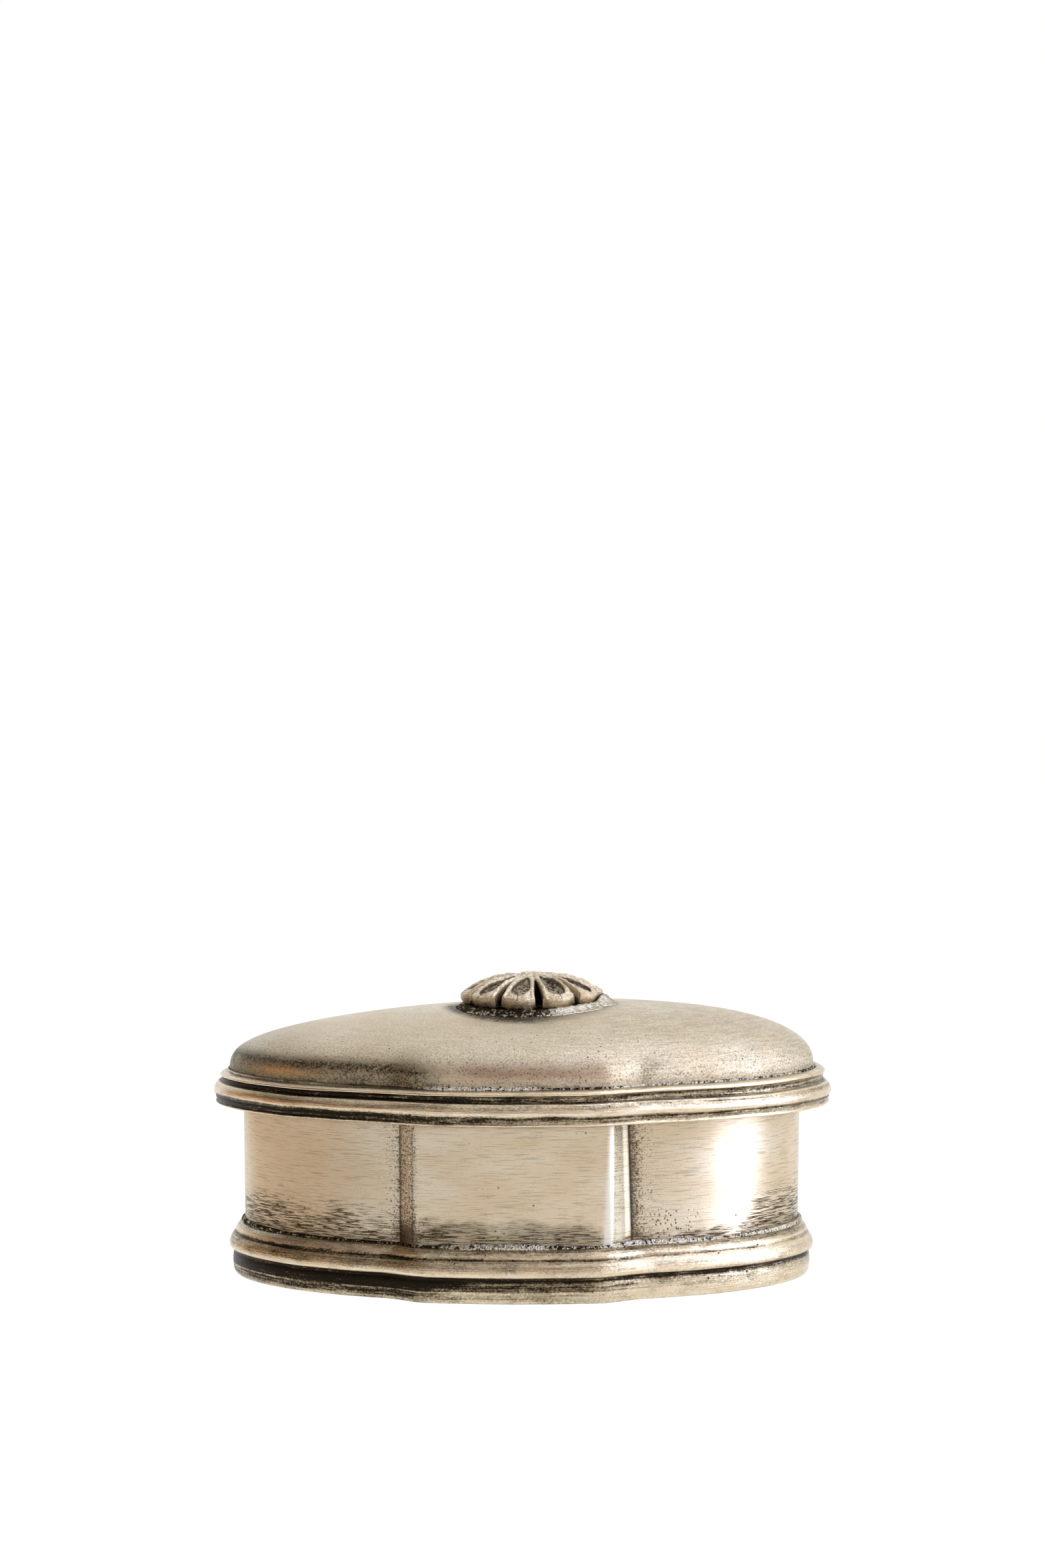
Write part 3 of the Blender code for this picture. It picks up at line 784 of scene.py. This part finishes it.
def rim_piece():
    """The reeded rim over the wall, with a seat for the dome on its inner side."""
    seat_outer = DOME_INSET + CLEARANCE
    seat_inner = seat_outer - RIM_SEAT_WIDTH
    seat = DOME_LOW.z - CLEARANCE
    low = RIM_LOW.z
    top = RIM_HIGH.z
    web = low + RIM_WEB_THICKNESS
    inside = [
        (seat_outer, top),
        (seat_outer, seat),
        (seat_inner, seat),
        (seat_inner, web),
        (-WALL_THICKNESS, web),
        (-WALL_THICKNESS, low),
    ]
    wave = 0.26 * MM
    return moulding_piece(
        "rim_reeds", RIM_LINE_SHARES, low, top - low, RIM_PROJECTION, inside, seat_outer,
        wave, leftness(-8 * MM, -27 * MM, 0.26), filed=0.45 * MM, tip=DOME_TIP,
    )


def seam_piece(name, start, end, seed, fill_shares, grey_shares, ease_start, heavy=0.0, tip=0.0):
    """A lumpy line of solder that fills the corner between two strips.

    Its section is a fillet: a quarter round bulge between two points of distance out and height,
    swollen by seeded sines of many lengths. The shares say how full it is and how dark, as pairs
    of distance right in mm and share. heavy is what is added at the ends of the box, and tip is
    how far the line rises to the right.
    """
    right_mm = STATION_X / MM
    full = np.interp(right_mm, *np.array(fill_shares).T)
    arc = np.linspace(0.0, math.pi, 11)
    thick = 0.55 + 0.45 * waver(TURNS, seed, 14, 20, 150)
    ends = eased(np.abs(np.cos(TURNS)), 0.5, 1.0) * (1 + 0.2 * np.cos(TURNS))
    bulge = column(np.sin(arc)) * (SEAM_SWELL * (0.35 + thick * full) + ends * heavy)
    corner = (min(start[0], end[0]) + 0.02 * MM, min(start[1], end[1]))
    section = []
    for first, last, held in zip(start, end, corner):
        fillet = (first + last) / 2 - held - (last - first) / 2 * column(np.cos(arc))
        section.append(np.vstack([held + fillet * full + bulge * 0.7, np.full(len(TURNS), held)]))
    out, up = section
    grid = swept(out, up + tip * np.cos(TURNS), ease_start=ease_start)
    dark = np.interp(right_mm, *np.array(grey_shares).T) + 0.18 * waver(TURNS, seed + 2, 12, 12, 160)
    return skin(name, grid, {"dark": dark})


def dome_height(reach):
    """Height of the dome where its foot's oval has shrunk to this reach."""
    return RIM_HIGH.z + DOME_RISE * (1 - np.clip(reach, 0.0, 1.0) ** 2) ** DOME_FULLNESS


def dome_lean(x, reach):
    """How much higher the dome stands to the right: its crown leans, and all of it is tipped."""
    share = x / (HALF_LENGTH + DOME_INSET)
    return share * (DOME_LEAN * LEAN_SCALE * (1 - reach ** LEAN_FADE_POWER) + DOME_TIP)


def dome_points(reach, height):
    """The foot's oval drawn in by reach, with the step dying away inwards."""
    x, y = oval(DOME_INSET)
    spread = RETURN_SPREAD_SHARE * (DOME_INSET - CLEARANCE) + DOME_VALLEY_SPREAD * (1 - reach)
    fade = eased(reach, STEP_FADE_SHARE, 1.0)
    x = reach * x
    y = reach * y + np.sign(y) * PANEL_STEP * step_share(spread) * fade
    return np.stack(np.broadcast_arrays(x, y, height + dome_lean(x, reach)), axis=-1)


def dome_piece():
    """The dome: outer face from crown to foot, bottom edge, and inner face back to the crown.

    The inner face is the outer one moved in along its normals by the thickness of the sheet.
    """
    reach = column(np.sin(np.linspace(0.0, 1.0, DOME_ROWS) * math.pi / 2) ** 0.9)
    outer = dome_points(reach, dome_height(reach))
    down = column(np.linspace(RIM_HIGH.z, DOME_LOW.z, 4)[1:])
    face = np.concatenate([outer, dome_points(np.ones_like(down), down)])
    along = np.roll(face, -1, axis=1) - np.roll(face, 1, axis=1)
    normal = np.cross(along, np.gradient(face, axis=0))
    normal = normal / np.maximum(np.linalg.norm(normal, axis=-1, keepdims=True), 1e-12)
    if np.sum(normal[-1] * face[-1]) < 0:
        normal = -normal
    normal[0] = (0.0, 0.0, 1.0)
    inner = (face - DOME_SHEET * normal)[::-3]
    grid = np.concatenate([face, inner])
    x, y, z = np.moveaxis(grid, -1, 0)
    above = z - RIM_HIGH.z
    # Painted shade: a dark smudge by the left valley of the foot.
    smudge_and_shade = bell(x, 1.6 * MM - LEFT_CORNER, 4.2 * MM) * bell(above, 1.4 * MM, 2.6 * MM) * 0.46
    # Painted dark reflection of the room, low on the left.
    core = 0.72 + 0.40 * bell(above, 3.2 * MM, 0.9 * MM)
    band = eased(x, -13 * MM, -25 * MM) * eased(above, 5.2 * MM, 3.2 * MM) * core
    # Painted reflection of the warm room in front, low on the dome's front.
    front_reflection = eased(x, -14 * MM, -7 * MM) * eased(x, 17 * MM, 14 * MM) * bell(above, 2.8 * MM, 1.6 * MM)
    # Painted shade in the valley between the right highlights, and towards the left end.
    valley = bell(x - 0.7 * above, 21.75 * MM, 1.9 * MM) * eased(above, 6.5 * MM, 3.5 * MM)
    haze_and_shade = valley * 0.28 + eased(x, -34 * MM, -52 * MM) * 0.3
    # Painted amber reflection, low at the dome's left end.
    amber_light = bell(x, -45 * MM, 5.5 * MM) * bell(above, 1.5 * MM, 0.8 * MM)
    # Painted shadow of the rosette on the dome, mostly in front and to the left.
    rightward = eased(x, ROSETTE_OFFSET - 4 * MM, ROSETTE_OFFSET + 8 * MM)
    frontward = eased(y, 4 * MM, -4 * MM)
    from_rosette = np.hypot(x - ROSETTE_OFFSET, 0.8 * y) - ROSETTE_RADIUS
    ring = eased(from_rosette, 4.2 * MM, 0.8 * MM) * (1.5 - rightward) * (0.12 + 0.88 * frontward)
    dark = smudge_and_shade + band * 0.80 + ring
    marks = {"smudge_and_shade": dark, "front_reflection": front_reflection * 0.8, "amber_light": amber_light * 0.8, "haze_and_shade": haze_and_shade}
    return skin("dome_shell", grid, marks, poles=True)


def flower_turns():
    """Directions round the rosette, closer together in the grooves between petals."""
    even = np.linspace(0.0, FULL_TURN, FLOWER_COLUMNS, endpoint=False)
    crowd = 0.55 * np.sin(PETAL_COUNT * even) / PETAL_COUNT
    return FIRST_PETAL_TURN + even + crowd


FLOWER_TURNS = flower_turns()


def flower_relief(reach):
    """Height over the rosette's back, and how deep each place lies in a hollow or in a groove.

    A low crown; each petal is a spoon, hollowed out inside a rounded rim, and the grooves
    between rims widen outwards. Short slots and a small hub mark the middle.
    """
    petal = (FLOWER_TURNS - FIRST_PETAL_TURN) * PETAL_COUNT / FULL_TURN
    number = np.round(petal).astype(int) % PETAL_COUNT
    across = 2 * np.abs(petal - np.round(petal))
    random = np.random.default_rng(8)
    wide, long, deep = random.uniform(-1.0, 1.0, (3, PETAL_COUNT))[:, number]
    half_width = reach * math.sin(math.pi / PETAL_COUNT)
    side = across * half_width
    gap = half_width - side
    opening = 0.010 + 0.044 * eased(reach, 0.45, 0.95)
    rim_width = 0.066
    far = 0.94 + 0.015 * long
    rounding = np.sqrt(np.clip(1 - (np.maximum(reach - 0.74, 0.0) / (far - 0.74)) ** 2, 0.0, 1.0))
    hollow_side = (half_width - opening - rim_width + 0.008 * wide) * rounding
    hollow = eased(hollow_side - side, -0.014, 0.026) * eased(reach, 0.24, 0.34)
    groove = eased(opening - gap, -0.0099, 0.0121) * eased(reach, 0.40, 0.50)
    slot = eased(gap, 0.013, 0.003) * eased(reach, 0.19, 0.23) * eased(reach, 0.40, 0.35)
    roll = np.sin(math.pi * np.clip((gap - opening) / rim_width, 0.0, 1.0)) * eased(reach, 0.3, 0.5)
    crown = ROSETTE_HEIGHT - (0.5 + 1.25 * reach ** 2 + 2.2 * reach ** 4) * MM
    height = crown + roll * 0.30 * MM
    height = height - hollow * (1.10 + 0.15 * deep) * MM * eased(reach, 0.15, 0.50)
    height = height - groove * (0.7 + 2.2 * eased(reach, 0.45, 0.90)) * MM
    height = height - slot * 0.6 * MM
    height = height + 0.5 * MM * eased(reach, 0.20, 0.12)
    return height, hollow, np.maximum(groove, slot), across


def rosette_drop(x, y):
    """How far the rosette's back bends down to follow the dome, at a place from its middle."""
    plane = ROSETTE_BOTTOM + x * ROSETTE_SLOPE
    gap = plane - 0.15 * MM - dome_under(x + ROSETTE_OFFSET, y)
    return np.maximum(gap, 0.0) * 0.85


def flower_piece():
    """The rosette: face from the hub to the petal ends, their blunt ends, and the back."""
    face = column(np.linspace(0.0, 1.0, FLOWER_ROWS))
    height, hollow, groove, across = flower_relief(face)
    outline = ROSETTE_RADIUS * (1 - PETAL_ROUND_SHARE * (1 - np.sqrt(1 - 0.98 * across ** 2)))
    down = column(np.linspace(0.0, 1.0, 9)[1:])
    bulge = (1 - FACE_SHARE) * np.sin(math.pi * down ** 0.7)
    end_reach = FACE_SHARE + bulge - 0.05 * down
    back = column(np.linspace(0.93, 0.0, 6)[1:])
    flat = 0.0 * FLOWER_TURNS
    reach = np.concatenate([face * FACE_SHARE, end_reach, back])
    x = reach * outline * np.cos(FLOWER_TURNS)
    y = reach * outline * np.sin(FLOWER_TURNS)
    drop = rosette_drop(x, y)
    top = np.maximum(height, 0.3 * MM - drop[:len(face)])
    ends = top[-1] + (-drop[len(face) - 1] - top[-1]) * down
    level = np.concatenate([top, ends, -drop[-len(back):]])
    hollow = np.concatenate([hollow, down * flat, back * flat])
    groove = np.concatenate([groove, groove[-1:] + down * flat, back * flat + 1.0])
    end = np.concatenate([face ** 40 + flat, 1.0 + down * flat, back * flat])
    uneven = lumps(x, y, 3, 3.5 * MM) * 0.18 * MM + lumps(x, y, 4, 1.1 * MM) * 0.19 * MM
    raised = eased(level + drop, 0.0, 0.3 * MM)
    level = level + raised * uneven * eased(reach, 0.0, 0.12) + x * ROSETTE_SLOPE
    level = np.minimum(level, ROSETTE_HEIGHT)
    grid = np.stack([x + ROSETTE_OFFSET, y, level + ROSETTE_BOTTOM], axis=-1)
    return skin("cast_rosette", grid, {"hollow": hollow, "groove": groove, "end": end}, poles=True)


def dome_under(x, y):
    """Height of the dome's outer face below a place near the crown."""
    foot_x, foot_y = oval(DOME_INSET)
    foot_turn = np.arctan2(foot_y, foot_x)
    order = np.argsort(foot_turn)
    radius = np.hypot(foot_x, foot_y)[order]
    reach = np.hypot(x, y) / np.interp(np.arctan2(y, x), foot_turn[order], radius, period=FULL_TURN)
    return dome_height(reach) + dome_lean(x, reach)


def solder_piece():
    """The solder under the rosette: a bed below the petals and a thin film that runs out in front.

    The bed reaches up to the petals' backs. Past them a film lies on the dome, heaped up to the
    right of the front and at the right end.
    """
    turns = np.linspace(0.0, FULL_TURN, SOLDER_COLUMNS, endpoint=False)
    frontward = smooth(0.1 - 1.1 * np.sin(turns))
    heaped = eased(np.cos(turns - math.radians(-40.0)), 0.70, 0.94)
    shoulder = eased(np.cos(turns - math.radians(4.0)), 0.80, 0.96)
    middle = eased(np.cos(turns - math.radians(-85.0)), 0.50, 0.90)
    ragged = 0.025 * waver(turns, 14, 7, 3, 14) + 0.018 * waver(turns, 15, 12, 20, 60)
    radius = ROSETTE_RADIUS * (1.00 + 0.22 * frontward + 0.15 * shoulder + ragged)
    top = column(np.linspace(0.0, 1.0, SOLDER_ROWS))
    under = column(np.linspace(1.0, 0.0, 8)[1:])
    reach = np.concatenate([top, under])
    x = reach * radius * np.cos(turns) + ROSETTE_OFFSET
    y = reach * radius * np.sin(turns)
    floor = dome_under(x, y) + 0.04 * MM
    across = x - ROSETTE_OFFSET
    bed = ROSETTE_BOTTOM + across * ROSETTE_SLOPE - rosette_drop(across, y) - 0.05 * MM
    away = np.hypot(across, y) / ROSETTE_RADIUS
    uneven = (lumps(x, y, 11, 2.0 * MM) * 0.16 + lumps(x, y, 12, 0.9 * MM) * 0.22) * MM
    heap = (heaped * 0.35 + frontward * 0.45) * bell(away, 1.04, 0.075) * MM
    flank = shoulder * eased(away, 1.16, 1.01) * 1.2 * MM
    film = floor + FILM_THICKNESS + uneven + heap + flank
    edge = np.clip((reach - 0.80) / 0.20, 0.0, 1.0)
    ridge = film + (bed - film) * eased(away, 1.0, 0.95)
    upper = floor + (ridge - floor) * np.sqrt(np.clip(1 - edge ** 2, 0.0, 1.0))
    height = np.concatenate([np.maximum(upper, floor)[:len(top)], floor[len(top):]])
    grid = np.stack([x, y, height], axis=-1)
    filed = heaped * eased(away, 0.94, 1.0)
    # Painted shadow of the petals: black near them, fading outwards, left pale on the filed wedge and
    # on the lit right shoulder.
    dark = 1.0 - 0.15 * middle - 1.05 * filed
    dark = dark - 0.34 * shoulder * (1 - filed) - 0.14 * eased(away, 1.08, 1.20)
    return skin("solder_bed", grid, {"dark": dark}, poles=True)


def ring_piece(name, outer, inner, low, high):
    """A plain strip on edge, carried round the plan, with softly rounded edges."""
    half = (outer - inner) / 2
    middle = (outer + inner) / 2
    arc = np.linspace(0.0, math.pi, 7)
    out = np.concatenate([middle + half * np.cos(arc), middle - half * np.cos(arc)])
    height = np.concatenate([high - half + half * np.sin(arc), low + half - half * np.sin(arc)])
    return skin(name, swept(column(out), column(height)), {})


def floor_piece():
    """The floor sheet: the wall's plan drawn in to the middle, on top and underneath."""
    shares = np.linspace(0.0, 1.0, 10)
    reach = np.concatenate([shares, shares[::-1]])
    grid = swept(np.zeros((1, 1)), np.zeros((1, 1))) * reach[:, None, None]
    grid[..., 2] = column(np.repeat([FLOOR_HIGH.z, FLOOR_LOW.z], len(shares)))
    return skin("floor_sheet", grid, {}, poles=True)


# How full and how dark the solder lines are, as pairs of distance right in mm and share
FOOT_FILL_SHARES = (
    (-56, 1.0), (-50, 0.7), (-44, 0.5), (-16, 0.5), (-10, 1.0), (2, 1.0),
    (8, 0.5), (15, 0.5), (19, 1.0), (32, 0.8), (40, 0.6), (50, 0.9),
)
FOOT_GREY_SHARES = (
    (-54, 0.6), (-46, 1.0), (-18, 0.9), (-11, 0.30), (2, 0.30), (8, 0.75),
    (14, 0.6), (19, 0.30), (32, 0.35), (38, 0.50), (48, 0.3), (54, 0.2),
)
DOME_FILL_SHARES = ((-56, 0.5), (-20, 0.45), (-15, 1.0), (0, 0.9), (6, 0.5), (56, 0.5))
DOME_GREY_SHARES = (
    (-56, 0.7), (-20, 0.8), (-15, 0.30), (0, 0.35), (8, 0.9), (16, 0.6),
    (20, 0.25), (30, 0.5), (56, 0.6),
)


def dress():
    """Make every piece, give it its finish and let it ride on its body."""
    bezel_outer = -WALL_THICKNESS - CLEARANCE
    bezel_inner = bezel_outer - BEZEL_THICKNESS
    bezel = ring_piece("bezel_strip", bezel_outer, bezel_inner, BEZEL_LOW.z, BEZEL_HIGH.z)
    foot_corner = (0.01 * MM, FOOT_HIGH.z + 0.75 * MM)
    foot_edge = (0.75 * MM, FOOT_HIGH.z - 0.25 * MM)
    foot_seam = seam_piece(
        "foot_solder", foot_corner, foot_edge, 71, FOOT_FILL_SHARES, FOOT_GREY_SHARES,
        FOOT_EASE_START, heavy=0.35 * MM,
    )
    dome_corner = (DOME_INSET - 0.05 * MM, RIM_HIGH.z + 0.65 * MM)
    dome_edge = (DOME_INSET + 0.75 * MM, RIM_HIGH.z - 0.15 * MM)
    dome_seam = seam_piece(
        "dome_solder", dome_corner, dome_edge, 83, DOME_FILL_SHARES, DOME_GREY_SHARES,
        DOME_INSET + CLEARANCE, tip=DOME_TIP,
    )
    solder = rough_solder()
    rows = (
        (wall_piece(), "box", "body_wall", "wall_sheet", brushed_wall(FOOT_HIGH.z, RIM_LOW.z)),
        (floor_piece(), "box", "floor_plate", "floor_sheet", plain_sheet("floor_sheet")),
        (foot_piece(), "box", "base_moulding", "foot_moulding", reeded_strip("foot_moulding")),
        (rim_piece(), "lid", "lid_rim", "rim_moulding", reeded_strip("rim_moulding")),
        (bezel, "lid", "lid_bezel", "bezel_strip", plain_sheet("bezel_strip")),
        (dome_piece(), "lid", "lid_dome", "dome_sheet", satin_dome(RIM_HIGH.z)),
        (solder_piece(), "lid", "rosette_solder_bed", "solder", solder),
        (flower_piece(), "lid", "rosette", "cast_rosette", cast_flower()),
        (foot_seam, "box", None, "solder", solder),
        (dome_seam, "lid", None, "solder", solder),
    )
    for piece, body, node, slot, material in rows:
        piece.data.materials.append(material)
        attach(piece, body)
        if node:
            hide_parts(node)


# The photograph's view: distance to the middle of the box, heights, and the frame's shift
SCALE = 0.13 * MM
VIEW_DISTANCE = 4200 * SCALE
VIEW_HEIGHT = 816 * SCALE
AIM_HEIGHT = 200 * SCALE
FRAME_HEIGHT = 2352
AIM_PIXEL = (782.5, 1706.0)
FRAME_CENTRE = (784.0, 1176.0)

# Colours of the light
DAYLIGHT = (0.86, 0.97, 1.30)
ROOM_WHITE = (1.05, 1.05, 1.05)
DUSK = (0.44, 0.33, 0.26)
DEEP_DUSK = (0.10, 0.08, 0.06)
LAMP = (0.72, 0.40, 0.18)
PLAIN_WHITE = (1.0, 1.0, 1.0)


def set_camera():
    """A camera aimed at the middle of the box, shifted so that the box sits low in the frame."""
    data = bpy.data.cameras.new("camera")
    camera = placed("camera", data)
    drop = VIEW_HEIGHT - AIM_HEIGHT
    camera.location = (0.0, -VIEW_DISTANCE, VIEW_HEIGHT)
    camera.rotation_euler = (math.pi / 2 - math.atan2(drop, VIEW_DISTANCE), 0.0, 0.0)
    data.sensor_fit = "VERTICAL"
    data.sensor_height = 36.0
    data.lens = math.hypot(drop, VIEW_DISTANCE) / SCALE / FRAME_HEIGHT * data.sensor_height
    data.shift_x = (FRAME_CENTRE[0] - AIM_PIXEL[0]) / FRAME_HEIGHT
    data.shift_y = (AIM_PIXEL[1] - FRAME_CENTRE[1]) / FRAME_HEIGHT
    bpy.context.scene.camera = camera


def panel_light(name, turn, rise, distance, width, height, energy):
    """A soft panel of daylight that faces the box from this turn to the right and this rise."""
    data = bpy.data.lights.new(name, "AREA")
    data.shape = "RECTANGLE"
    data.size = width
    data.size_y = height
    data.energy = energy
    data.color = DAYLIGHT
    light = placed(name, data)
    flat = distance * math.cos(rise)
    above_table = distance * math.sin(rise) + AIM_HEIGHT
    light.location = (flat * math.sin(turn), -flat * math.cos(turn), above_table)
    light.rotation_euler = (math.pi / 2 - rise, 0.0, turn)


def set_lights():
    """A tall window low on the right, and a wider, fainter panel above it."""
    panel_light("window", math.radians(72.0), math.radians(16.0), 0.7, 0.29, 0.52, energy=2.4)
    panel_light("skylight", math.radians(80.0), math.radians(58.0), 0.8, 0.60, 0.45, energy=1.4)


def set_surround():
    """White all round as the camera sees it, and behind and above the box as the metal sees it.

    Low in front and to the left it dims to a warm dusk, as a room does behind a camera.
    """
    world = bpy.data.worlds.new("surround")
    bpy.context.scene.world = world
    tree = Tree(world)
    right, back, up = tree.split(tree.node("ShaderNodeTexCoord").outputs["Generated"])
    left = right.between(0.30, -0.70)
    front = back.between(0.30, -0.30)
    band = up.between(0.10, 0.42) * up.between(0.97, 0.70)
    far = right.between(-0.72, -0.98)
    dim = ((front + left * back.between(0.75, 0.2)).held() * band + left * 0.25 + far * 0.25).held()
    amber_light = right.between(-0.60, -0.90) * up.between(0.50, 0.15)
    dusk = tree.layered(DUSK, (left, DEEP_DUSK), (amber_light * 0.9, LAMP))
    shaded = (dim + amber_light).held()
    room = tree.blend(shaded, ROOM_WHITE, dusk)
    camera, glossy, through = tree.rays()
    shown = (camera + (glossy + through) * (1 - shaded)).held()
    seen = tree.blend(shown, room, PLAIN_WHITE)
    tree.plug(tree.nodes.nodes["Background"].inputs["Color"], seen)


def set_floor():
    """A pale floor that the camera and the metal see nearly white; it keeps the box's shadow."""
    bpy.ops.mesh.primitive_plane_add(size=8.0, location=(0.0, 0.0, -0.05 * MM))
    floor = bpy.context.object
    floor.name = "table"
    material = bpy.data.materials.new("table")
    tree = Tree(material)
    shader = tree.nodes.nodes["Principled BSDF"]
    shader.inputs["Base Color"].default_value = (0.86, 0.86, 0.86, 1.0)
    shader.inputs["Roughness"].default_value = 0.9
    camera, glossy, through = tree.rays()
    white = tree.node("ShaderNodeEmission", sockets={"Color": PLAIN_WHITE, "Strength": 1.10})
    seen = (camera + glossy + through).held() * 0.90
    sockets = {0: seen, 1: shader.outputs[0], 2: white.outputs[0]}
    mixed = tree.node("ShaderNodeMixShader", sockets=sockets)
    tree.plug(tree.nodes.nodes["Material Output"].inputs["Surface"], mixed.outputs[0])
    floor.data.materials.append(material)


dress()
set_camera()
set_lights()
set_surround()
set_floor()
bpy.context.scene.view_settings.view_transform = "Standard"
